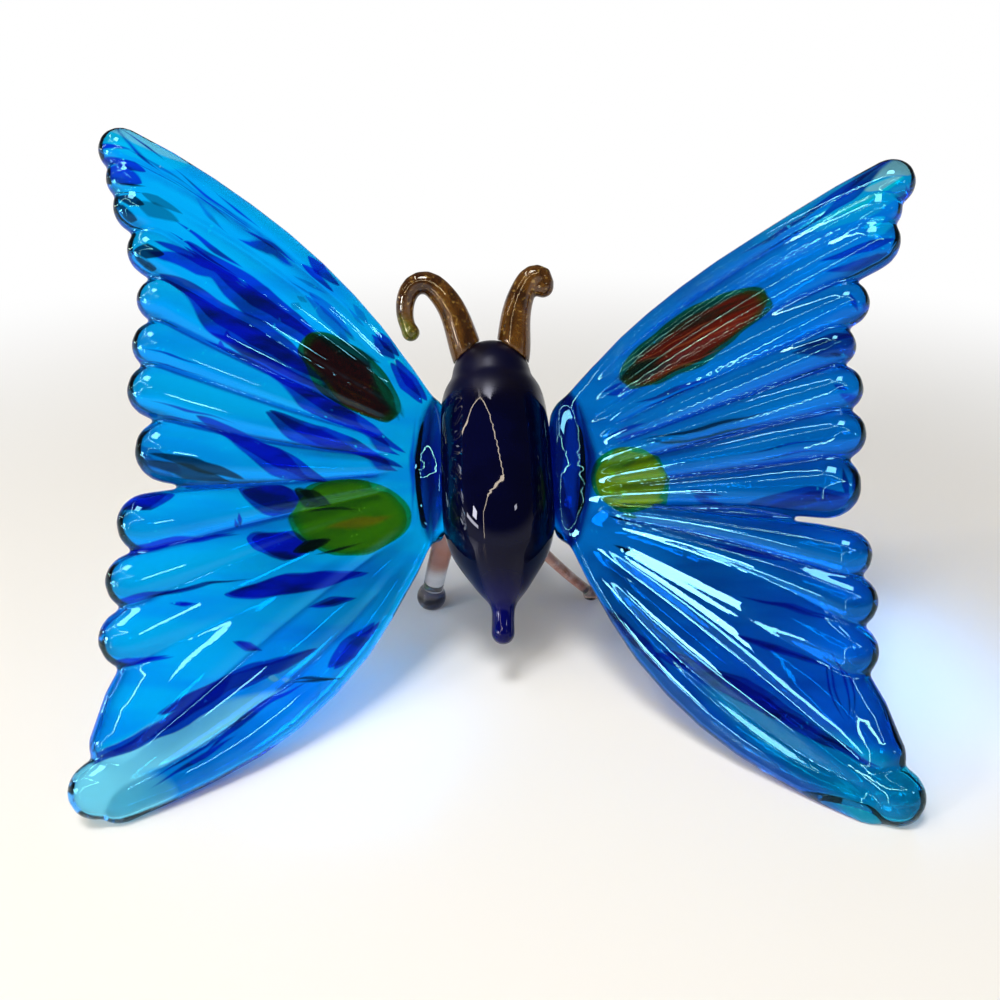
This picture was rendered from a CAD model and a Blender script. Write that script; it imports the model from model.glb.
"""The looks of a flameworked glass butterfly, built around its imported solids. Metres."""
from __future__ import annotations

import logging
import math
from dataclasses import dataclass, replace
from enum import Enum
from typing import Any, Sequence

import bmesh
import bpy
import numpy as np
from mathutils import Matrix, Vector


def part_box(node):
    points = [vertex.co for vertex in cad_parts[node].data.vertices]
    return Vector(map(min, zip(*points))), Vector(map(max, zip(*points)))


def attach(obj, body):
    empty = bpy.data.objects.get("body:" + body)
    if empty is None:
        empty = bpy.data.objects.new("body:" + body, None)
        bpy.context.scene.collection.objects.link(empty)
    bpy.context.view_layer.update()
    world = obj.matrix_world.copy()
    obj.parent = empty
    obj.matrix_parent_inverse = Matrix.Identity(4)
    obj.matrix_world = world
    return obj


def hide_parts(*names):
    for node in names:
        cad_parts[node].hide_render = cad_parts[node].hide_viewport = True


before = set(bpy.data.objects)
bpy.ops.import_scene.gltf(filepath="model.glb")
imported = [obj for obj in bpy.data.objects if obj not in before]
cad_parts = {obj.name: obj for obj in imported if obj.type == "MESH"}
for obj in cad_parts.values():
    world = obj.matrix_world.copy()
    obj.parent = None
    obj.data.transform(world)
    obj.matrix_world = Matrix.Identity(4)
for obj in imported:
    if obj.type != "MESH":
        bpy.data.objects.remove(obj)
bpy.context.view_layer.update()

log = logging.getLogger("butterfly")

MM = 0.001
NOISE_MIDDLE = 0.5  # the noise's mean
NOISE_SWING = 0.25  # how far it mostly strays from its mean
EGG_ROUNDS = 5  # times that an egg's faces are divided
SMOOTH_FACTOR = 0.5  # share of the way to its neighbours that a point goes in one round
STEEP = 0.99  # a lamp this straight overhead takes its level side from +Y
LAMP_DISTANCE = 0.6
WHITE = (1.0, 1.0, 1.0)

Place = tuple[float, float]
Colour = tuple[float, float, float]


# Shader expressions


class Field:
    """A value that varies over a surface: one output socket of a material's nodes."""

    def __init__(self, shader: Shader, socket: bpy.types.NodeSocket | None) -> None:
        """Keep the socket, if the node has one, and the shader that it belongs to."""
        self.shader = shader
        self.socket = socket

    def __add__(self, other: Number) -> Field:
        """Sum of two values."""
        return self.shader.maths("ADD", self, other)

    __radd__ = __add__

    def __sub__(self, other: Number) -> Field:
        """Difference of two values."""
        return self.shader.maths("SUBTRACT", self, other)

    def __rsub__(self, other: Number) -> Field:
        """Difference with a number in front."""
        return self.shader.maths("SUBTRACT", other, self)

    def __mul__(self, other: Number) -> Field:
        """Product of two values."""
        return self.shader.maths("MULTIPLY", self, other)

    __rmul__ = __mul__


Number = Field | float


class Shader:
    """One material, or the world, and the nodes that give it its looks."""

    def __init__(self, name: str, owner: bpy.types.World | None = None) -> None:
        """Start with no nodes.

        Args:
            name: The new material's name.
            owner: A world, where the nodes aren't for a new material.
        """
        self.material = owner or bpy.data.materials.new(name)
        self.material.use_nodes = True
        self.tree = self.material.node_tree
        self.tree.nodes.clear()

    def node(
        self,
        kind: str,
        settings: dict[str, Any] | None = None,
        sockets: dict[str | int, Any] | None = None,
        output: str | int = 0,
    ) -> Field:
        """Add one node.

        Args:
            kind: The node's type, without its ShaderNode prefix.
            settings: Its settings, which are set before its sockets.
            sockets: Values or links of its inputs, by name or number.
            output: The output to hand back, by name or number.

        Returns:
            The chosen output, or the first one.
        """
        made = self.tree.nodes.new("ShaderNode" + kind)
        for key, value in (settings or {}).items():
            setattr(made, key, value)
        for key, value in (sockets or {}).items():
            if isinstance(value, Field):
                self.tree.links.new(value.socket, made.inputs[key])
            else:
                made.inputs[key].default_value = value
        return Field(self, made.outputs[output] if len(made.outputs) else None)

    def maths(self, operation: str, *values: Number) -> Field:
        """Add one Math node on its values."""
        return self.node("Math", {"operation": operation}, dict(enumerate(values)))

    def vector(self, operation: str, *values: Any, output: str | int = 0) -> Field:
        """Add one Vector Math node on its values."""
        return self.node("VectorMath", {"operation": operation}, dict(enumerate(values)), output)

    def along(self, place: Field, way: Sequence[float]) -> Field:
        """How far a place lies along a direction, times the direction's length."""
        return self.vector("DOT_PRODUCT", place, tuple(way), output="Value")

    def kept(self, name: str) -> Field:
        """A value that the mesh keeps for each of its points."""
        return self.node("Attribute", {"attribute_name": name}, None, "Fac")

    def ramp(self, value: Number, low: float, high: float, top: Number = 1.0) -> Field:
        """Rise smoothly from 0 to a top value between two values.

        Args:
            value: What the rise follows.
            low: Where the result is 0; it may be above high.
            high: Where the result is the top.
            top: The result's highest value.

        Returns:
            The smooth step.
        """
        backwards = low > high
        sockets = {
            "Value": value,
            "From Min": min(low, high),
            "From Max": max(low, high),
            "To Min": top if backwards else 0.0,
            "To Max": 0.0 if backwards else top,
        }
        return self.node("MapRange", {"interpolation_type": "SMOOTHSTEP"}, sockets)

    def mix(self, factor: Number, first: Any, second: Any) -> Field:
        """Mix two colours.

        Args:
            factor: 0 for the first colour and 1 for the second.
            first: A colour or a field.
            second: A colour or a field.

        Returns:
            The mixed colour.
        """
        sockets = {0: factor, 6: opaque(first), 7: opaque(second)}
        return self.node("Mix", {"data_type": "RGBA"}, sockets, 2)

    def noise(self, place: Field, scale: float, detail: float = 2.0, output: str = "Fac") -> Field:
        """Soft noise at a place.

        Args:
            place: The vector that it follows.
            scale: Noise cells per unit of the place.
            detail: Octaves of finer noise.
            output: Fac for a number or Color for three.

        Returns:
            The noise, about 0.5 on average.
        """
        sockets = {"Vector": place, "Scale": scale, "Detail": detail}
        return self.node("TexNoise", None, sockets, output)

    def finish(self, surface: Field, output: str = "OutputMaterial") -> Any:
        """Close the nodes with their surface and hand back what they belong to."""
        self.node(output, None, {"Surface": surface})
        return self.material


def seen_rays(shader: Shader) -> Field:
    """Tell rays that show a thing from rays that only light others with it.

    Args:
        shader: The material that asks.

    Returns:
        1 for what is seen straight, mirrored or through glass, and 0 for light on things.
    """
    seen: Any = 0.0
    for kind in ("Is Camera Ray", "Is Glossy Ray", "Is Transmission Ray"):
        seen = shader.maths("MAXIMUM", seen, shader.node("LightPath", None, None, kind))
    return seen


def opaque(colour: Any) -> Any:
    """A colour with its alpha; a field stays as it is."""
    return colour if isinstance(colour, Field) else (*colour, 1.0)


# The wings' own directions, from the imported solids


class Side(Enum):
    """The butterfly's two sides, with the sign of x."""

    LEFT = -1
    RIGHT = 1

    @property
    def word(self) -> str:
        """The side's name, as the nodes have it."""
        return self.name.lower()


@dataclass(frozen=True)
class WingFrame:
    """One side's wing plane: places in millimetres outward and along the body."""

    side: Side
    pitch: float = math.radians(57.0)
    lift: float = math.radians(27.0)
    gather_inset: float = 0.4 * MM
    gather_shift: float = -0.6 * MM

    @property
    def along(self) -> Vector:
        """Direction along the body to the head."""
        return Vector((0, math.cos(self.pitch), math.sin(self.pitch)))

    @property
    def dorsal(self) -> Vector:
        """Direction out of the body's back."""
        return Vector((1, 0, 0)).cross(self.along)

    @property
    def outward(self) -> Vector:
        """Direction from the root line to the lobes."""
        across = Vector((self.side.value, 0, 0))
        return across * math.cos(self.lift) + self.dorsal * math.sin(self.lift)

    @property
    def through(self) -> Vector:
        """Direction through the wing."""
        return self.outward.cross(self.along)

    @property
    def root(self) -> Vector:
        """Middle of the root line.

        Returns:
            The point, found from the root gather's solid.
        """
        low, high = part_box(self.side.word + "_wing_root")
        middle = (low + high) / 2 - self.along * self.gather_shift
        return middle + Vector((self.side.value * self.gather_inset, 0, 0))

    def coordinates(self, shader: Shader) -> Field:
        """The place on the wing in millimetres, as (outward, along, through).

        Args:
            shader: The material that asks.

        Returns:
            A vector field.
        """
        place = shader.node("TexCoord", None, None, "Object")
        from_root = shader.vector("SUBTRACT", place, tuple(self.root))
        ways = (self.outward, self.along, self.through)
        parts = [shader.along(from_root, way / MM) for way in ways]
        return shader.node("CombineXYZ", None, dict(enumerate(parts)))


# Finishes


@dataclass(frozen=True)
class Glass:
    """A fire-polished glass of one colour."""

    colour: Colour
    roughness: float = 0.02
    ior: float = 1.5
    transmission: float = 1.0
    specular: float = 0.5
    gloss: Colour = WHITE

    def surface(self, shader: Shader, colour: Field, roughness: Number | None = None) -> Field:
        """The glass's shader.

        Args:
            shader: The material that it belongs to.
            colour: The colour, where it varies from the glass's own.
            roughness: The roughness, where it varies.

        Returns:
            The closed shader.
        """
        sockets = {
            "Base Color": colour,
            "Roughness": self.roughness,
            "IOR": self.ior,
            "Transmission Weight": self.transmission,
            "Specular IOR Level": self.specular,
            "Specular Tint": opaque(self.gloss),
        }
        if roughness is not None:
            sockets["Roughness"] = roughness
        return shader.node("BsdfPrincipled", None, sockets)


@dataclass(frozen=True)
class Streak:
    """A wedge of other glass along a wing, in the wing's own millimetres, pointed at both ends."""

    start: Place
    end: Place
    width: float
    strength: float = 1.0
    peak: float = 0.5
    bend: float = 0.0
    edge: float = 0.22
    edge_share: float = 0.4

    def mask(self, shader: Shader, place: Field) -> Field:
        """How far a place is inside the streak.

        Args:
            shader: The material that asks.
            place: The place on the wing.

        Returns:
            0 outside and the strength inside.
        """
        run = Vector((self.end[0] - self.start[0], self.end[1] - self.start[1], 0))
        from_start = shader.vector("SUBTRACT", place, (*self.start, 0))
        share = shader.along(from_start, run / run.length_squared)
        beside = shader.along(from_start, (-run.y / run.length, run.x / run.length, 0))
        if self.bend:
            beside = beside - share * (1 - share) * (4 * self.bend)
        rising = share * (1 / self.peak)
        falling = (1 - share) * (1 / (1 - self.peak))
        room = shader.maths("MAXIMUM", shader.maths("MINIMUM", rising, falling), 0.0)
        half = shader.maths("SQRT", room) * (self.width / 2)
        inside = half - shader.maths("ABSOLUTE", beside)
        edge = min(self.edge, self.width * self.edge_share)
        return shader.ramp(inside, 0.0, edge, self.strength)


@dataclass(frozen=True)
class Spot:
    """A round inlay of another colour, in the wing's own millimetres."""

    middle: Place
    size: Place
    turn: float
    colour: Colour
    fringe: Colour
    depth: float = 10.0

    def distance(self, shader: Shader, place: Field) -> Field:
        """How far a place is from the spot's middle.

        Args:
            shader: The material that asks.
            place: The place on the wing.

        Returns:
            The distance as a share of the spot's half size, 1 on its outline.
        """
        turned = shader.node(
            "VectorRotate",
            {"rotation_type": "Z_AXIS"},
            {"Vector": place, "Center": (*self.middle, 0), "Angle": -math.radians(self.turn)},
        )
        local = shader.vector("SUBTRACT", turned, (*self.middle, 0))
        scaled = shader.vector("DIVIDE", local, (self.size[0] / 2, self.size[1] / 2, self.depth))
        return shader.vector("LENGTH", scaled, output="Value")


@dataclass(frozen=True)
class Layer:
    """Streaks of one colour in a wing's glass."""

    colour: Colour
    streaks: tuple[Streak, ...]
    depth: Colour | None = None
    depth_range: tuple[float, float] = (0.4, 0.62)

    def paint(self, shader: Shader, place: Field, below: Field, cloud: Field) -> Field:
        """Lay the streaks over a colour.

        Args:
            shader: The material that asks.
            place: The place on the wing.
            below: The colour under them.
            cloud: Soft noise that turns the layer's colour to its deeper one.

        Returns:
            The colour with the streaks.
        """
        own: Any = self.colour
        if self.depth:
            own = shader.mix(shader.ramp(cloud, *self.depth_range), self.colour, self.depth)
        for streak in self.streaks:
            below = shader.mix(streak.mask(shader, place), below, own)
        return below


@dataclass(frozen=True)
class WingGlass:
    """The glass of one side's wings, with its streaks, its spots and what lies over them."""

    name: str
    plane: WingFrame
    azure: Colour
    deep: Colour
    rim: Colour
    layers: tuple[Layer, ...] = ()
    spots: tuple[Spot, ...] = ()
    upper_layers: tuple[Layer, ...] = ()
    wander_reach: float = 0.3
    wander_scale: float = 0.17
    cloud_scale: tuple[float, float, float] = (0.12, 0.45, 0.0)
    flow_scale: tuple[float, float, float] = (0.05, 0.3, 0.0)
    flow_range: tuple[float, float] = (0.42, 0.68)
    flow_share: float = 0.45
    tilt_range: tuple[float, float] = (0.0, -0.7)
    tilt_share: float = 0.6
    groove_range: tuple[float, float] = (0.04, 0.14)
    groove_share: float = 0.8
    rim_range: tuple[float, float] = (0.3, 0.8)
    rim_share: float = 0.92
    relief_start: tuple[float, float] = (4.0, 8.0)
    fringe_range: tuple[float, float] = (1.03, 0.99)
    spot_range: tuple[float, float] = (0.97, 0.82)
    seed: Colour = (0.3, 0.75, 1.0)
    seed_scale: float = 1.3
    seed_range: tuple[float, float, float] = (0.73, 0.77, 0.45)
    gloss: Colour = (0.25, 0.75, 1.0)

    def material(self) -> bpy.types.Material:
        """Build the material.

        Returns:
            The glass with its streaks, spots and seeds.
        """
        shader = Shader(self.name)
        place = self.plane.coordinates(shader)
        flat = shader.vector("MULTIPLY", place, (1, 1, 0))
        wander = shader.noise(flat, self.wander_scale, 1.0, "Color")
        wander = shader.vector("SUBTRACT", wander, (NOISE_MIDDLE,) * 3)
        reach = self.wander_reach / NOISE_SWING
        wander = shader.vector("MULTIPLY", wander, (reach, reach, 0))
        strayed = shader.vector("ADD", flat, wander)
        colour = self.relief(shader, flat)
        cloud = shader.noise(shader.vector("MULTIPLY", flat, self.cloud_scale), 1.0, 3.0)
        for layer in self.layers:
            colour = layer.paint(shader, strayed, colour, cloud)
        for spot in self.spots:
            distance = spot.distance(shader, strayed)
            colour = shader.mix(shader.ramp(distance, *self.fringe_range), colour, spot.fringe)
            colour = shader.mix(shader.ramp(distance, *self.spot_range), colour, spot.colour)
        for layer in self.upper_layers:
            colour = layer.paint(shader, strayed, colour, cloud)
        seeds = shader.noise(flat, self.seed_scale, 1.0)
        colour = shader.mix(shader.ramp(seeds, *self.seed_range), colour, self.seed)
        return shader.finish(Glass(self.azure, gloss=self.gloss).surface(shader, colour))

    def relief(self, shader: Shader, flat: Field) -> Field:
        """The plain glass: streaky, deeper on the ribs' lower halves and dark where it turns away.

        Args:
            shader: The material that asks.
            flat: The place on the wing.

        Returns:
            The colour.
        """
        flow = shader.noise(shader.vector("MULTIPLY", flat, self.flow_scale), 1.0, 3.0)
        flowing = shader.ramp(flow, *self.flow_range, self.flow_share)
        colour = shader.mix(flowing, self.azure, self.deep)
        turned = shader.ramp(shader.kept("tilt"), *self.tilt_range, self.tilt_share)
        colour = shader.mix(turned, colour, self.deep)
        outward = shader.node("SeparateXYZ", None, {0: flat}, "X")
        free = shader.ramp(outward, *self.relief_start)
        groove = shader.ramp(shader.kept("hollow"), *self.groove_range, self.groove_share) * free
        colour = shader.mix(groove, colour, self.rim)
        edge = shader.ramp(shader.kept("slope"), *self.rim_range, self.rim_share) * free
        return shader.mix(edge, colour, self.rim)


@dataclass(frozen=True)
class Band:
    """A change of colour along a gather, in millimetres from its start to where it is complete."""

    start: float
    end: float
    colour: Colour


@dataclass(frozen=True)
class GatherGlass:
    """The glass of a gather, with bands along a direction, soft mottling and fine flecks."""

    glass: Glass
    axis: tuple[float, float, float] = (0.0, 0.0, 1.0)
    bands: tuple[Band, ...] = ()
    mottle: Colour = (0.0, 0.0, 0.0)
    mottle_share: float = 0.0
    mottle_range: tuple[float, float] = (0.44, 0.62)
    mottle_scale: tuple[float, float, float] = (0.5, 0.5, 0.5)
    fleck: Colour = WHITE
    fleck_share: float = 0.0
    fleck_range: tuple[float, float] = (0.6, 0.7)
    fleck_scale: float = 2.2
    dull: tuple[float, float, float] | None = None

    def material(self, name: str) -> bpy.types.Material:
        """Build the material.

        Args:
            name: The name of the piece that wears it.

        Returns:
            The glass with its bands, mottling and flecks.
        """
        shader = Shader(name)
        place = shader.node("TexCoord", None, None, "Object")
        place = shader.node("VectorMath", {"operation": "SCALE"}, {0: place, "Scale": 1 / MM})
        along = shader.along(place, self.axis)
        colour: Any = self.glass.colour
        for band in self.bands:
            colour = shader.mix(shader.ramp(along, band.start, band.end), colour, band.colour)
        mottle = shader.noise(shader.vector("MULTIPLY", place, self.mottle_scale), 1.0, 3.0)
        mottle = shader.ramp(mottle, *self.mottle_range, self.mottle_share)
        colour = shader.mix(mottle, colour, self.mottle)
        if self.fleck_share:
            fleck = shader.noise(place, self.fleck_scale)
            fleck = shader.ramp(fleck, *self.fleck_range, self.fleck_share)
            colour = shader.mix(fleck, colour, self.fleck)
        roughness = None
        if self.dull:
            roughness = self.glass.roughness + shader.ramp(along, *self.dull)
        return shader.finish(self.glass.surface(shader, colour, roughness))


# Meshes


Solid = tuple[np.ndarray, list[tuple[int, ...]]]


def node_mesh(node: str) -> Solid:
    """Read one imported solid.

    Args:
        node: The solid's name.

    Returns:
        Its points and its faces.
    """
    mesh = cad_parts[node].data
    points = np.zeros(len(mesh.vertices) * 3)
    mesh.vertices.foreach_get("co", points)
    return points.reshape(-1, 3), [tuple(polygon.vertices) for polygon in mesh.polygons]


def egg_mesh(middle: Vector, reaches: Sequence[Vector]) -> Solid:
    """Points and faces of a rounded gather.

    Args:
        middle: Its middle.
        reaches: Three ways from the middle to its surface, square to each other.

    Returns:
        The points and the faces.
    """
    ball = bmesh.new()
    bmesh.ops.create_icosphere(ball, subdivisions=EGG_ROUNDS, radius=1.0)
    turn = Matrix(reaches).transposed()
    points = [middle + turn @ vertex.co for vertex in ball.verts]
    faces = [tuple(vertex.index for vertex in face.verts) for face in ball.faces]
    ball.free()
    return np.array(points), faces


def melted(name: str, parts: Sequence[Solid], cell: float, rounds: int) -> bpy.types.Object:
    """Melt some closed meshes into one.

    Args:
        name: The new piece's name.
        parts: Points and faces of each mesh.
        cell: Size of the cells that the mesh is rebuilt in.
        rounds: Rounds of smoothing.

    Returns:
        The new object, in the scene.
    """
    faces: list[tuple[int, ...]] = []
    shift = 0
    for points, own_faces in parts:
        faces += [tuple(vertex + shift for vertex in face) for face in own_faces]
        shift += len(points)
    mesh = bpy.data.meshes.new(name)
    mesh.from_pydata(np.concatenate([points for points, _ in parts]).tolist(), [], faces)
    piece = bpy.data.objects.new(name, mesh)
    bpy.context.scene.collection.objects.link(piece)
    remesh = piece.modifiers.new("melt", "REMESH")
    remesh.mode = "VOXEL"
    remesh.voxel_size = cell
    smooth = piece.modifiers.new("polish", "SMOOTH")
    smooth.factor = SMOOTH_FACTOR
    smooth.iterations = rounds
    apply_modifiers(piece)
    piece.data.polygons.foreach_set("use_smooth", [True] * len(piece.data.polygons))
    return piece


def apply_modifiers(piece: bpy.types.Object) -> None:
    """Turn a piece's modifiers into its own mesh.

    Args:
        piece: The piece, which has no modifiers afterwards.
    """
    depsgraph = bpy.context.evaluated_depsgraph_get()
    mesh = bpy.data.meshes.new_from_object(piece.evaluated_get(depsgraph))
    piece.modifiers.clear()
    old = piece.data
    piece.data = mesh
    bpy.data.meshes.remove(old)
    mesh.name = piece.name


def mesh_points(mesh: bpy.types.Mesh) -> np.ndarray:
    """Read the places of a mesh's vertices.

    Args:
        mesh: The mesh.

    Returns:
        One row for each vertex.
    """
    points = np.zeros(len(mesh.vertices) * 3)
    mesh.vertices.foreach_get("co", points)
    return points.reshape(-1, 3)


def hollowness(mesh: bpy.types.Mesh, normals: np.ndarray, rounds: int) -> np.ndarray:
    """How far each point lies under its own neighbourhood, in millimetres.

    Args:
        mesh: The mesh.
        normals: Its vertices' normals.
        rounds: Rounds of averaging that make the neighbourhood.

    Returns:
        The depths, above 0 in grooves and under 0 on ridges.
    """
    ends = np.zeros(len(mesh.edges) * 2, dtype=np.int64)
    mesh.edges.foreach_get("vertices", ends)
    first, second = ends.reshape(-1, 2).T
    start, goal = np.concatenate([first, second]), np.concatenate([second, first])
    count = np.bincount(start, minlength=len(mesh.vertices))
    points = mesh_points(mesh)
    spread = points
    for _ in range(rounds):
        sums = [np.bincount(start, spread[goal, axis], len(points)) for axis in range(3)]
        spread = (spread + np.stack(sums, axis=1) / count[:, None]) / 2
    return ((spread - points) * normals).sum(axis=1) / MM


def soften(piece: bpy.types.Object, weights: np.ndarray, rounds: int, steps: int = 8) -> None:
    """Smooth a piece more in some places than in others.

    Args:
        piece: The piece.
        weights: How much each vertex is smoothed, from 0 to 1.
        rounds: Rounds of smoothing.
        steps: Number of different strengths.
    """
    group = piece.vertex_groups.new(name="soft")
    levels = np.rint(weights * steps).astype(int)
    for level in range(1, steps + 1):
        group.add(np.flatnonzero(levels == level).tolist(), level / steps, "REPLACE")
    smooth = piece.modifiers.new("soften", "SMOOTH")
    smooth.factor = SMOOTH_FACTOR
    smooth.iterations = rounds
    smooth.vertex_group = group.name
    apply_modifiers(piece)
    piece.vertex_groups.clear()


def place_piece(
    piece: bpy.types.Object, material: bpy.types.Material, nodes: Sequence[str]
) -> None:
    """Dress a piece and let it stand for its solids.

    Args:
        piece: The finished mesh.
        material: Its material.
        nodes: The solids that it stands for.
    """
    piece.data.materials.clear()
    piece.data.materials.append(material)
    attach(piece, "root")
    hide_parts(*nodes)
    log.info("%s: %d faces", piece.name, len(piece.data.polygons))


# Sub-assemblies


@dataclass(frozen=True)
class Wings:
    """The forewing and hindwing of one side, melted together with their root gather."""

    plane: WingFrame
    finish: WingGlass
    slot: str = "azure_glass"
    parts: tuple[str, ...] = ("forewing", "hindwing", "red_spot", "green_spot", "wing_root")
    root_reach: float = 8.7 * MM
    root_radius: float = 2.5 * MM
    web_out: float = 2.6 * MM
    web_reaches: tuple[float, float, float] = (4.4 * MM, 7.6 * MM, 1.25 * MM)
    joins: tuple[tuple[Place, Place], ...] = ()
    join_radius: float = 0.9 * MM
    cell: float = 0.25 * MM
    rounds: int = 10
    soft_reach: tuple[float, float] = (3.8, 7.0)
    soft_rounds: int = 80
    groove_rounds: int = 40

    @property
    def nodes(self) -> tuple[str, ...]:
        """The solids that the wings stand for."""
        return tuple(f"{self.plane.side.word}_{part}" for part in self.parts)

    def build(self) -> None:
        """Make the wings and dress them."""
        plane = self.plane
        meshes = [node_mesh(node) for node in self.nodes]
        root = plane.root
        ways = (plane.outward, plane.along, plane.through)
        middle = root + plane.along * plane.gather_shift
        gather = middle - Vector((plane.side.value * plane.gather_inset, 0, 0))
        sizes = (self.root_radius, self.root_reach, self.root_radius)
        meshes.append(egg_mesh(gather, [way * size for way, size in zip(ways, sizes)]))
        web = middle + plane.outward * self.web_out
        meshes.append(egg_mesh(web, [way * size for way, size in zip(ways, self.web_reaches)]))
        for ends in self.joins:
            first, second = (root + (plane.outward * u + plane.along * v) * MM for u, v in ends)
            half = (second - first) / 2
            beside = half.cross(plane.through).normalized()
            reaches = (half, beside * self.join_radius, plane.through * self.join_radius)
            meshes.append(egg_mesh((first + second) / 2, reaches))
        piece = melted(f"{plane.side.word}_wings", meshes, self.cell, self.rounds)
        outward = (mesh_points(piece.data) - np.array(root)) @ np.array(plane.outward) / MM
        near, far = self.soft_reach
        soften(piece, np.clip((far - outward) / (far - near), 0, 1), self.soft_rounds)
        self.keep_relief(piece.data)
        place_piece(piece, self.finish.material(), self.nodes)

    def keep_relief(self, mesh: bpy.types.Mesh) -> None:
        """Keep each point's turn to the head, its slope off the wing's plane and its hollowness.

        Args:
            mesh: The finished wings, which get the three as attributes.
        """
        normals = np.zeros(len(mesh.vertices) * 3)
        mesh.vertex_normals.foreach_get("vector", normals)
        normals = normals.reshape(-1, 3)
        relief = {
            "tilt": normals @ np.array(self.plane.along),
            "slope": 1 - np.abs(normals @ np.array(self.plane.through)),
            "hollow": hollowness(mesh, normals, self.groove_rounds),
        }
        for name, values in relief.items():
            attribute = mesh.attributes.new(name, "FLOAT", "POINT")
            attribute.data.foreach_set("value", values.astype(np.float32))


@dataclass(frozen=True)
class Gather:
    """A gather or rod of one glass."""

    name: str
    nodes: tuple[str, ...]
    slot: str
    finish: GatherGlass
    cell: float = 0.22 * MM
    rounds: int = 10

    def build(self) -> None:
        """Make the gather and dress it."""
        meshes = [node_mesh(node) for node in self.nodes]
        piece = melted(self.name, meshes, self.cell, self.rounds)
        place_piece(piece, self.finish.material(self.name), self.nodes)


def rod(node: str, slot: str, finish: GatherGlass) -> Gather:
    """A thin rod, which is rebuilt finer than the other gathers.

    Args:
        node: The solid that it stands for.
        slot: The record's material slot.
        finish: Its glass.

    Returns:
        The gather.
    """
    return Gather(f"{node}_glass", (node,), slot, finish, cell=0.15 * MM, rounds=24)


LEFT = WingFrame(Side.LEFT)
RIGHT = WingFrame(Side.RIGHT)

COBALT = (0.0, 0.006, 0.56)
INDIGO = (0.0, 0.006, 0.3)
NAVY = (0.0, 0.004, 0.13)
INK = (0.0, 0.004, 0.018)
AQUA = (0.17, 0.68, 0.92)
SKY = (0.1, 0.5, 0.75)
CYAN = (0.0, 0.75, 1.0)
TEAL = (0.0, 0.42, 0.62)
MIST = (0.14, 0.42, 0.55)
ROYAL = (0.0, 0.010, 0.38)
DUSK = (0.0, 0.005, 0.1)
SAPPHIRE = (0.0, 0.09, 0.8)
SLATE = (0.05, 0.12, 0.25)
VIOLET = (0.3, 0.12, 0.4)
SOOT = (0.001, 0.004, 0.002)
MOSS = (0.003, 0.012, 0.005)
PINE = (0.0, 0.055, 0.028)
LEAF = (0.02, 0.13, 0.01)
LIME = (0.26, 0.36, 0.0)
OLIVE = (0.13, 0.13, 0.0)
UMBER = (0.05, 0.028, 0.0)
BRICK = (0.13, 0.010, 0.002)
GLOW = (0.12, 0.45, 1.0)
GOLD = (0.36, 0.2, 0.07)
PINK = (0.34, 0.15, 0.11)

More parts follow.
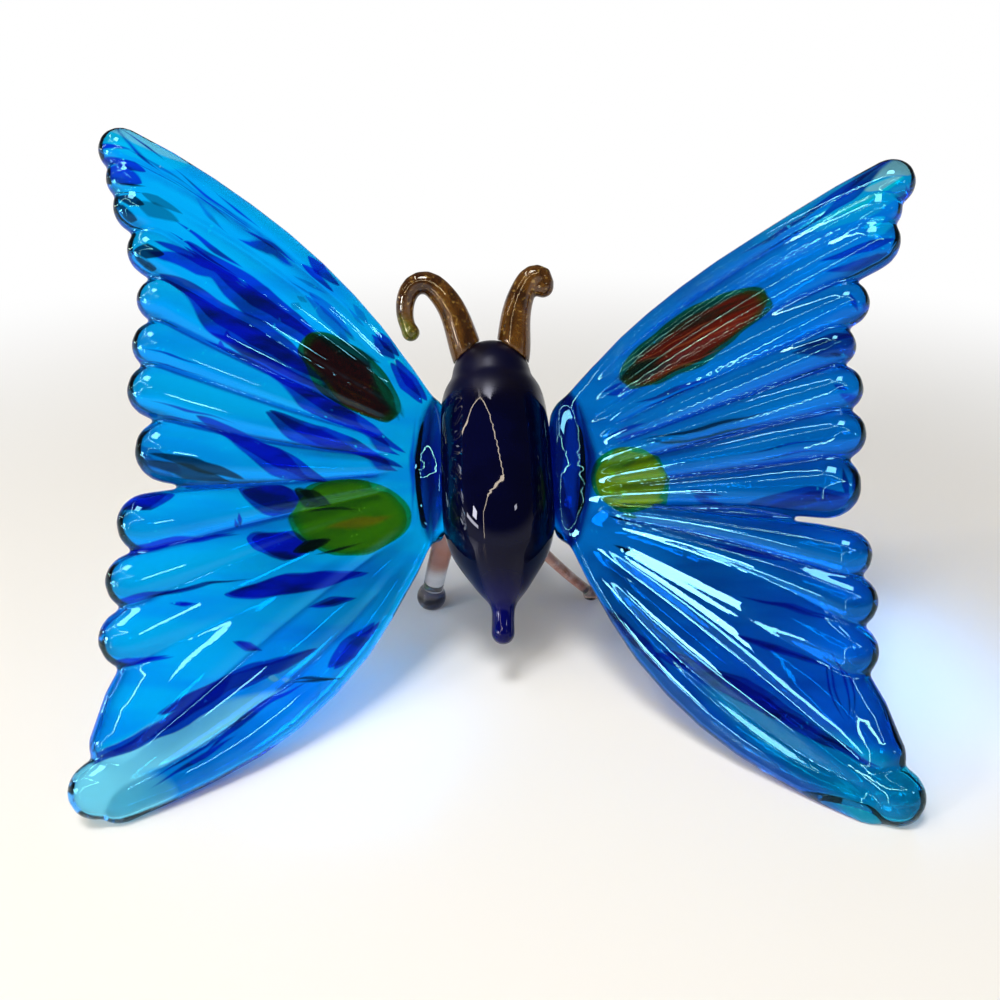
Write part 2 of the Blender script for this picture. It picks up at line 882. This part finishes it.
LEFT_GLASS = WingGlass(
    "left_wings_glass",
    LEFT,
    azure=(0.0, 0.44, 1.0),
    deep=(0.0, 0.19, 0.95),
    rim=(0.0, 0.006, 0.45),
    layers=(
        Layer(
            AQUA,
            (
                Streak((41.0, -36.0), (27.0, -35.0), 8.0, edge=1.6),
                Streak((39.0, -34.4), (15.6, -25.2), 5.0, peak=0.4, edge=0.8),
                Streak((38.6, 32.9), (29.0, 29.8), 1.6, 0.7, peak=0.4),
                Streak((14.2, 21.1), (12.2, 19.8), 1.2),
                Streak((5.6, 12.0), (3.8, 11.0), 1.0),
            ),
        ),
        Layer(
            COBALT,
            depth=NAVY,
            streaks=(
                Streak((36.7, 32.8), (31.5, 29.6), 0.5, peak=0.6),
                Streak((31.1, 29.2), (22.4, 24.3), 0.5),
                Streak((26.4, 27.6), (21.2, 24.0), 0.5),
                Streak((36.4, 30.6), (27.7, 27.0), 0.5, 0.8),
                Streak((28.1, 27.0), (24.1, 24.0), 0.5, 0.8),
                Streak((23.3, 23.8), (16.9, 21.2), 0.9),
                Streak((38.7, 30.2), (34.8, 30.2), 0.8, peak=0.3),
                Streak((37.7, 29.2), (33.5, 28.0), 1.4, peak=0.7),
                Streak((38.7, 32.4), (36.9, 31.5), 1.0, peak=0.4),
                Streak((30.4, 23.2), (23.0, 19.3), 0.9, peak=0.6),
                Streak((32.1, 20.6), (22.4, 17.9), 1.5),
                Streak((29.0, 21.2), (13.0, 11.8), 3.2),
                Streak((31.4, 17.4), (11.3, 7.3), 3.3, peak=0.5),
                Streak((26.2, 12.2), (3.5, 0.8), 2.5, peak=0.5),
                Streak((19.8, 4.0), (4.0, -1.0), 2.3, peak=0.4),
                Streak((27.3, 2.7), (12.6, -3.4), 2.5, peak=0.6),
                Streak((15.6, 18.1), (10.1, 13.7), 1.5, 0.8, peak=0.4),
                Streak((17.5, 19.8), (13.3, 18.0), 0.7, 0.7),
                Streak((15.7, 22.4), (11.9, 19.2), 1.9, peak=0.4),
                Streak((10.6, 17.4), (8.6, 15.6), 1.1, 0.7),
                Streak((7.9, 14.8), (4.7, 12.1), 1.6),
                Streak((5.2, 11.8), (1.2, 7.2), 2.0),
                Streak((34.6, -7.4), (28.8, -5.8), 2.3),
                Streak((35.0, -12.0), (22.3, -9.3), 1.3, peak=0.2),
                Streak((34.8, -16.8), (20.5, -13.7), 0.8, peak=0.15),
                Streak((34.7, -22.6), (28.1, -21.7), 1.0, peak=0.25),
                Streak((28.6, -16.8), (26.1, -16.6), 0.7),
                Streak((22.6, -20.4), (19.4, -21.4), 1.1),
                Streak((22.0, -4.7), (15.4, -5.5), 3.0, peak=0.6),
                Streak((21.2, -9.8), (14.6, -10.2), 3.5, peak=0.65),
                Streak((23.1, -15.5), (8.0, -12.8), 2.6, peak=0.4),
                Streak((14.4, -16.9), (9.4, -15.7), 1.2),
                Streak((11.8, -23.5), (6.6, -18.4), 1.9, peak=0.4),
                Streak((30.2, -34.8), (21.7, -29.7), 0.8, peak=0.6),
                Streak((25.4, -31.9), (14.6, -24.6), 1.0, bend=-0.5),
                Streak((34.5, -23.1), (37.0, -30.6), 0.9, 0.8, peak=0.4),
                Streak((24.5, 12.4), (24.4, 10.9), 1.0),
                Streak((22.5, -7.0), (22.3, -8.6), 0.8),
            ),
        ),
        Layer(
            INDIGO,
            (
                Streak((35.4, -32.1), (21.4, -25.2), 2.1, peak=0.6),
                Streak((29.6, -27.7), (13.6, -21.2), 2.2, peak=0.45),
                Streak((33.1, 9.2), (25.6, 8.0), 0.5, peak=0.4),
                Streak((32.2, 3.8), (22.9, 2.2), 0.5, peak=0.4),
                Streak((34.2, -0.6), (28.0, -3.6), 2.2, 0.75),
            ),
        ),
        Layer(
            INK,
            (
                Streak((36.4, 26.3), (33.2, 26.4), 0.5),
                Streak((36.2, 25.0), (33.3, 24.3), 1.5),
                Streak((33.8, 25.6), (29.4, 24.0), 1.3, 0.8, peak=0.35),
                Streak((34.1, 19.5), (30.9, 19.3), 1.9, peak=0.45),
                Streak((31.8, -1.5), (21.7, -3.6), 1.5),
                Streak((17.0, -24.6), (10.2, -24.5), 0.6),
                Streak((11.4, 14.6), (10.1, 13.3), 0.8, 0.6),
                Streak((17.0, 17.4), (15.7, 16.6), 0.9, 0.6),
            ),
        ),
        Layer(
            SKY,
            (
                Streak((18.7, -24.0), (17.3, -24.1), 1.0),
                Streak((17.3, -24.2), (16.1, -24.2), 0.9),
                Streak((23.6, 18.3), (22.3, 17.6), 0.5, 0.8),
            ),
        ),
    ),
    spots=(
        Spot((10.2, 9.0), (13.2, 6.4), 34.5, (0.012, 0.001, 0.001), (0.003, 0.03, 0.004)),
        Spot((9.8, -6.8), (13.6, 8.0), -3.0, (0.03, 0.16, 0.0), (0.005, 0.14, 0.01)),
    ),
    upper_layers=(
        Layer(SOOT, (
            Streak((14.8, 13.3), (6.7, 11.0), 2.0, peak=0.4, edge=0.5),
            Streak((16.3, -4.4), (12.3, -5.9), 1.6, peak=0.4),
            Streak((16.3, -10.7), (12.4, -9.4), 1.6, peak=0.4),
            Streak((15.7, -6.6), (8.5, -5.9), 0.4, peak=0.4),
            Streak((13.9, -11.0), (8.2, -9.4), 0.5, peak=0.4),
        )),
        Layer(PINE, (
            Streak((8.2, 11.0), (4.0, 4.8), 2.2, 0.9, peak=0.6, edge=0.6),
        )),
        Layer(UMBER, (
            Streak((13.3, 8.4), (6.6, 5.6), 0.6, 0.8),
            Streak((12.6, 6.8), (6.4, 4.2), 0.9, 0.8),
            Streak((12.2, 9.7), (5.6, 7.0), 0.4, 0.7),
        )),
        Layer(OLIVE, (Streak((12.9, -8.2), (4.9, -6.4), 2.0, 0.8, edge=0.7),)),
        Layer(NAVY, (Streak((0.1, 8.6), (0.1, -9.4), 5.4, edge=1.2),)),
        Layer(COBALT, (
            Streak((2.0, 5.6), (2.2, -6.4), 1.3, 0.9, edge=0.5),
            Streak((-1.4, 5.6), (-1.5, -4.4), 0.9, 0.8, edge=0.4),
        )),
    ),
)
RIGHT_GLASS = WingGlass(
    "right_wings_glass",
    RIGHT,
    azure=(0.0, 0.19, 0.72),
    deep=(0.0, 0.07, 0.46),
    rim=(0.0, 0.008, 0.4),
    tilt_share=0.85,
    layers=(
        Layer(
            TEAL,
            (
                Streak((14.6, -25.0), (41.5, -39.6), 8.4, 0.9, peak=0.7, edge=1.2),
                Streak((27.4, 22.9), (38.2, 26.6), 2.1, 0.9, peak=0.65),
            ),
        ),
        Layer(
            MIST,
            (
                Streak((28.6, 23.4), (38.0, 26.7), 1.3, 0.85, peak=0.65),
                Streak((34.0, 27.2), (40.6, 28.4), 2.6, peak=0.65),
            ),
        ),
        Layer(
            CYAN,
            (
                Streak((33.8, 21.7), (36.0, 22.6), 1.2, 0.8),
                Streak((19.9, -29.9), (24.5, -32.2), 1.3),
                Streak((28.4, -34.2), (30.7, -35.6), 1.0),
                Streak((16.6, -26.4), (19.9, -29.2), 0.8, 0.6),
                Streak((20.0, 21.9), (37.0, 29.6), 1.3, 0.5, peak=0.7, edge=0.5),
            ),
        ),
        Layer(
            ROYAL,
            depth=DUSK,
            streaks=(
                Streak((21.1, 21.1), (31.1, 25.4), 0.8),
                Streak((27.4, 23.8), (36.1, 28.5), 1.1, peak=0.6),
                Streak((34.8, 27.9), (38.2, 29.7), 0.5),
                Streak((-0.2, 8.1), (9.7, 18.6), 1.3),
                Streak((7.3, 16.8), (20.9, 23.9), 0.9),
                Streak((29.3, 18.8), (36.9, 20.3), 1.4, peak=0.7),
                Streak((38.2, 25.9), (38.2, 19.2), 1.0),
                Streak((25.8, 10.2), (32.7, 11.0), 1.3, peak=0.7),
                Streak((30.0, 9.0), (31.6, 8.6), 0.6),
                Streak((32.3, 15.2), (33.2, 13.3), 0.8),
                Streak((30.3, 5.7), (31.8, 4.9), 0.8),
                Streak((20.1, -0.8), (30.2, -0.1), 0.4),
                Streak((20.5, -5.8), (31.5, -5.9), 2.2, peak=0.6),
                Streak((30.7, -3.0), (31.3, -6.6), 0.9),
                Streak((8.3, 6.0), (18.3, 8.2), 0.8),
                Streak((4.4, 7.9), (7.7, 8.8), 0.8),
                Streak((5.1, 2.9), (10.0, 3.6), 0.8),
                Streak((14.6, -4.2), (18.5, -5.0), 0.9, peak=0.4),
                Streak((14.9, -9.5), (25.5, -12.4), 0.8, peak=0.6),
                Streak((19.6, -15.5), (29.7, -18.5), 0.7),
                Streak((17.9, -19.3), (29.0, -23.1), 0.9),
                Streak((12.0, -21.4), (26.2, -29.4), 2.3),
                Streak((19.8, -26.0), (32.8, -32.8), 1.5, peak=0.35),
                Streak((28.3, -20.6), (30.2, -28.6), 0.55, bend=-0.9),
                Streak((28.3, -20.6), (30.2, -28.6), 0.55, bend=0.9),
                Streak((4.0, -16.2), (12.0, -24.6), 1.2),
                Streak((10.4, -21.7), (15.6, -23.7), 1.5),
            ),
        ),
        Layer(
            INK,
            (
                Streak((8.9, 1.7), (23.8, 3.6), 0.75),
                Streak((5.1, -6.4), (8.0, -7.1), 0.6),
                Streak((5.6, -9.8), (9.4, -11.1), 0.8),
            ),
        ),
        Layer(VIOLET, (Streak((9.6, 2.1), (23.4, 3.8), 0.2, 0.9, edge=0.1),)),
    ),
    spots=(
        Spot((15.2, 12.9), (18.6, 6.0), 24.5, (0.085, 0.006, 0.001), (0.012, 0.035, 0.004)),
        Spot((7.6, -2.4), (8.8, 7.2), -20.0, (0.12, 0.26, 0.0), (0.05, 0.2, 0.01)),
    ),
    upper_layers=(
        Layer(MOSS, (
            Streak((6.0, 9.2), (13.0, 11.7), 2.7, peak=0.4, edge=0.8),
            Streak((9.0, 12.6), (23.6, 16.9), 1.3, 0.9, edge=0.5),
        )),
        Layer(BRICK, (Streak((13.5, 10.9), (23.2, 15.4), 2.9, 0.8, peak=0.6, edge=1.0),)),
        Layer(GOLD, (
            Streak((6.6, 10.3), (23.8, 16.2), 0.28, 0.75, edge=0.12),
            Streak((7.0, 8.3), (19.9, 11.1), 0.28, 0.75, edge=0.12),
            Streak((11.0, 10.6), (22.6, 14.1), 0.2, 0.5, edge=0.1),
        )),
        Layer(LEAF, (
            Streak((3.6, -1.2), (10.0, 0.2), 2.4, 0.7, edge=0.8),
            Streak((4.2, -4.1), (11.0, -4.9), 0.4, peak=0.4),
        )),
        Layer(LIME, (
            Streak((4.6, -4.9), (11.8, -5.2), 2.0, 0.7, edge=0.8),
            Streak((3.7, -2.4), (11.4, -2.1), 0.25, 0.9, edge=0.1),
        )),
        Layer(NAVY, (Streak((0.2, 9.2), (0.4, -9.8), 7.4, edge=1.0),)),
        Layer(SAPPHIRE, (Streak((1.0, 7.4), (1.2, -6.8), 2.0, 0.95, edge=0.5),)),
        Layer(SLATE, (Streak((-2.5, 8.2), (-2.6, -2.6), 0.8, 0.9, edge=0.3),)),
    ),
)

WINGS = (
    Wings(LEFT, LEFT_GLASS),
    Wings(RIGHT, RIGHT_GLASS, joins=(((12.0, -6.4), (25.5, -7.5)),)),
)

MIDNIGHT = GatherGlass(
    Glass(
        (0.0005, 0.001, 0.07),
        transmission=0.0,
        specular=0.2,
        gloss=(0.85, 0.85, 1.0),
    ),
    axis=tuple(LEFT.along),
    bands=(Band(8.0, 15.0, (0.0004, 0.0006, 0.010)), Band(31.0, 37.0, (0.003, 0.002, 0.005))),
    mottle=(0.0006, 0.001, 0.018),
    mottle_share=0.7,
    mottle_scale=(0.12, 0.12, 0.12),
    dull=(32.2, 35.2, 0.35),
)
AMBER = GatherGlass(
    Glass((0.13, 0.052, 0.008), transmission=0.6),
    mottle=(0.03, 0.009, 0.002),
    mottle_share=0.9,
    mottle_scale=(0.55, 0.55, 0.2),
    fleck=(0.6, 0.38, 0.1),
    fleck_share=0.75,
)
HOOKED_AMBER = replace(
    AMBER,
    axis=(-0.7071, 0.0, -0.7071),
    bands=(Band(-19.8, -18.8, (0.16, 0.18, 0.02)),),
)
LEFT_LEG = GatherGlass(
    Glass((0.004, 0.004, 0.02)),
    bands=(Band(2.0, 2.6, (0.8, 0.8, 0.82)), Band(5.4, 7.6, PINK)),
    mottle=(0.6, 0.6, 0.64),
    mottle_share=0.1,
)
RIGHT_LEG = GatherGlass(
    Glass((0.10, 0.045, 0.04)),
    bands=(Band(1.4, 2.6, PINK),),
    mottle=(0.75, 0.62, 0.6),
    mottle_share=0.5,
)

GATHERS = (
    Gather("body_glass", ("body", "head"), "midnight_glass", MIDNIGHT, rounds=40),
    rod("left_antenna", "amber_glass", HOOKED_AMBER),
    rod("right_antenna", "amber_glass", AMBER),
    rod("left_leg", "clear_glass", LEFT_LEG),
    rod("right_leg", "clear_glass", RIGHT_LEG),
)


# Studio


def heading(height: float, turn: float) -> Vector:
    """A direction from two angles in degrees.

    Args:
        height: Angle over the floor.
        turn: Turn from +Y to +X.

    Returns:
        The direction, of length 1.
    """
    up, across = math.radians(height), math.radians(turn)
    level = math.cos(up)
    return Vector((math.sin(across) * level, math.cos(across) * level, math.sin(up)))


def hung(height: float, turn: float) -> tuple[float, float, float]:
    """Where a lamp hangs, from its direction in degrees."""
    return tuple(heading(height, turn) * LAMP_DISTANCE)


@dataclass(frozen=True)
class Softbox:
    """A rectangular studio lamp that faces the butterfly."""

    name: str
    place: tuple[float, float, float]
    size: Place
    power: float
    colour: Colour = WHITE
    across: tuple[float, float, float] = (0.0, 0.0, 0.0)
    aim: tuple[float, float, float] = (0.0, 0.0, 0.03)

    def build(self) -> None:
        """Hang the lamp, its width level unless it is told to lie across."""
        lamp = bpy.data.lights.new(self.name, "AREA")
        lamp.shape = "RECTANGLE"
        lamp.size, lamp.size_y = self.size
        lamp.energy = self.power
        lamp.color = self.colour
        holder = bpy.data.objects.new(self.name, lamp)
        back = (Vector(self.place) - Vector(self.aim)).normalized()
        across = Vector(self.across)
        if not across.length:
            across = Vector((0, 1, 0) if abs(back.z) > STEEP else (0, 0, 1)).cross(back)
        side = (across - back * across.dot(back)).normalized()
        up = back.cross(side)
        turn = Matrix((side, up, back)).transposed()
        holder.location = self.place
        holder.rotation_euler = turn.to_euler()
        bpy.context.scene.collection.objects.link(holder)


@dataclass(frozen=True)
class TubeLine:
    """Thin studio tubes end to end, which draw fine lines on the glass."""

    name: str
    ways: tuple[Place, ...]
    distance: float = LAMP_DISTANCE
    thickness: float = 0.008
    power: float = 1.0
    colour: Colour = (1.0, 0.84, 0.56)

    def build(self) -> None:
        """Hang the tubes."""
        ends = [heading(*way) * self.distance for way in self.ways]
        for number, (first, second) in enumerate(zip(ends, ends[1:])):
            run = second - first
            size = (run.length, self.thickness)
            power = self.power * run.length
            middle = tuple((first + second) / 2)
            Softbox(f"{self.name}_{number}", middle, size, power, self.colour, tuple(run)).build()


@dataclass(frozen=True)
class Studio:
    """The pale floor, the world, the lamps and the camera."""

    floor_size: float = 6.0
    floor_colour: Colour = (0.86, 0.86, 0.86)
    floor_roughness: float = 0.3
    floor_fade: tuple[float, float] = (0.06, 0.24)
    sky_fade: tuple[float, float] = (0.04, 0.3)
    sky_high: float = 0.1
    sky_through: float = 0.55
    camera_pitch: float = math.radians(25.0)
    focal: float = 36.0
    clip_start: float = 0.005
    camera_from_joint: tuple[float, float, float] = (0.0, -108.0 * MM, 45.843 * MM)
    lamps: tuple[Softbox, ...] = (
        Softbox("window", hung(20, -128), (0.085, 0.07), 0.95),
        Softbox("low_strip", hung(12, -124), (0.26, 0.03), 0.7),
        Softbox("overhead_softbox", hung(72, -150), (0.16, 0.16), 1.85),
        Softbox("right_spot", hung(31, 140), (0.05, 0.03), 0.12),
        Softbox(
            "right_glow",
            (0.05, 0.004, 0.012),
            (0.012, 0.03),
            0.0024,
            GLOW,
            aim=(0.05, 0.004, 0),
        ),
        Softbox(
            "left_glow",
            (-0.018, -0.004, 0.01),
            (0.02, 0.02),
            0.0014,
            GLOW,
            aim=(-0.018, -0.004, 0),
        ),
    )
    tubes: tuple[TubeLine, ...] = (
        TubeLine(
            "outline",
            (
                (12, -75),
                (16, -91),
                (34, -108),
                (57, -129),
                (53, -174),
                (45, -198),
                (38, -155),
                (27, -146),
                (3, -150),
            ),
        ),
        TubeLine("ridge", ((57, -129), (57, -60)), colour=(1.0, 0.95, 0.85)),
    )

    def build(self) -> None:
        """Set up the whole studio."""
        self.lay_floor()
        self.light_world()
        for lamp in (*self.lamps, *self.tubes):
            lamp.build()
        self.set_camera()

    def lay_floor(self) -> None:
        """Lay the pale floor, which turns to plain white far from the butterfly."""
        half = self.floor_size / 2
        mesh = bpy.data.meshes.new("floor")
        corners = [(-half, -half, 0), (half, -half, 0), (half, half, 0), (-half, half, 0)]
        mesh.from_pydata(corners, [], [(0, 1, 2, 3)])
        floor = bpy.data.objects.new("floor", mesh)
        bpy.context.scene.collection.objects.link(floor)
        shader = Shader("floor")
        sockets = {"Base Color": opaque(self.floor_colour), "Roughness": self.floor_roughness}
        near = shader.node("BsdfPrincipled", None, sockets)
        far = shader.node("Emission", None, {"Color": opaque(WHITE)})
        place = shader.node("TexCoord", None, None, "Object")
        away = shader.ramp(shader.vector("LENGTH", place, output="Value"), *self.floor_fade)
        seen = seen_rays(shader)
        sockets = {0: away * seen, 1: near, 2: far}
        mesh.materials.append(shader.finish(shader.node("MixShader", None, sockets)))

    def light_world(self) -> None:
        """Light the room: white to the camera and at the horizon, dim higher up, paler in glass."""
        world = bpy.data.worlds.new("studio")
        bpy.context.scene.world = world
        world.use_nodes = True
        shader = Shader("studio", world)
        place = shader.node("TexCoord", None, None, "Generated")
        height = shader.node("SeparateXYZ", None, {0: place}, "Z")
        through = shader.node("LightPath", None, None, "Is Transmission Ray")
        top = self.sky_high + (self.sky_through - self.sky_high) * through
        straight = shader.node("LightPath", None, None, "Is Camera Ray")
        strength = 1.0 - shader.ramp(height, *self.sky_fade) * (1.0 - top) * (1.0 - straight)
        sockets = {"Color": opaque(WHITE), "Strength": strength}
        shader.finish(shader.node("Background", None, sockets), "OutputWorld")

    def set_camera(self) -> None:
        """Place the camera where the photograph was taken."""
        joint = (LEFT.root + RIGHT.root) / 2
        camera = bpy.data.objects.new("camera", bpy.data.cameras.new("camera"))
        camera.data.lens = self.focal
        camera.data.sensor_width = self.focal
        camera.data.clip_start = self.clip_start
        camera.location = joint + Vector(self.camera_from_joint)
        camera.rotation_euler = (math.pi / 2 - self.camera_pitch, 0, 0)
        bpy.context.scene.collection.objects.link(camera)
        bpy.context.scene.camera = camera


def main() -> None:
    """Build the butterfly and the studio around it."""
    logging.basicConfig(level=logging.INFO, format="%(name)s: %(message)s")
    for wing in WINGS:
        wing.build()
    for gather in GATHERS:
        gather.build()
    Studio().build()
    bpy.context.scene.view_settings.view_transform = "Standard"


if __name__ == "__main__":
    main()
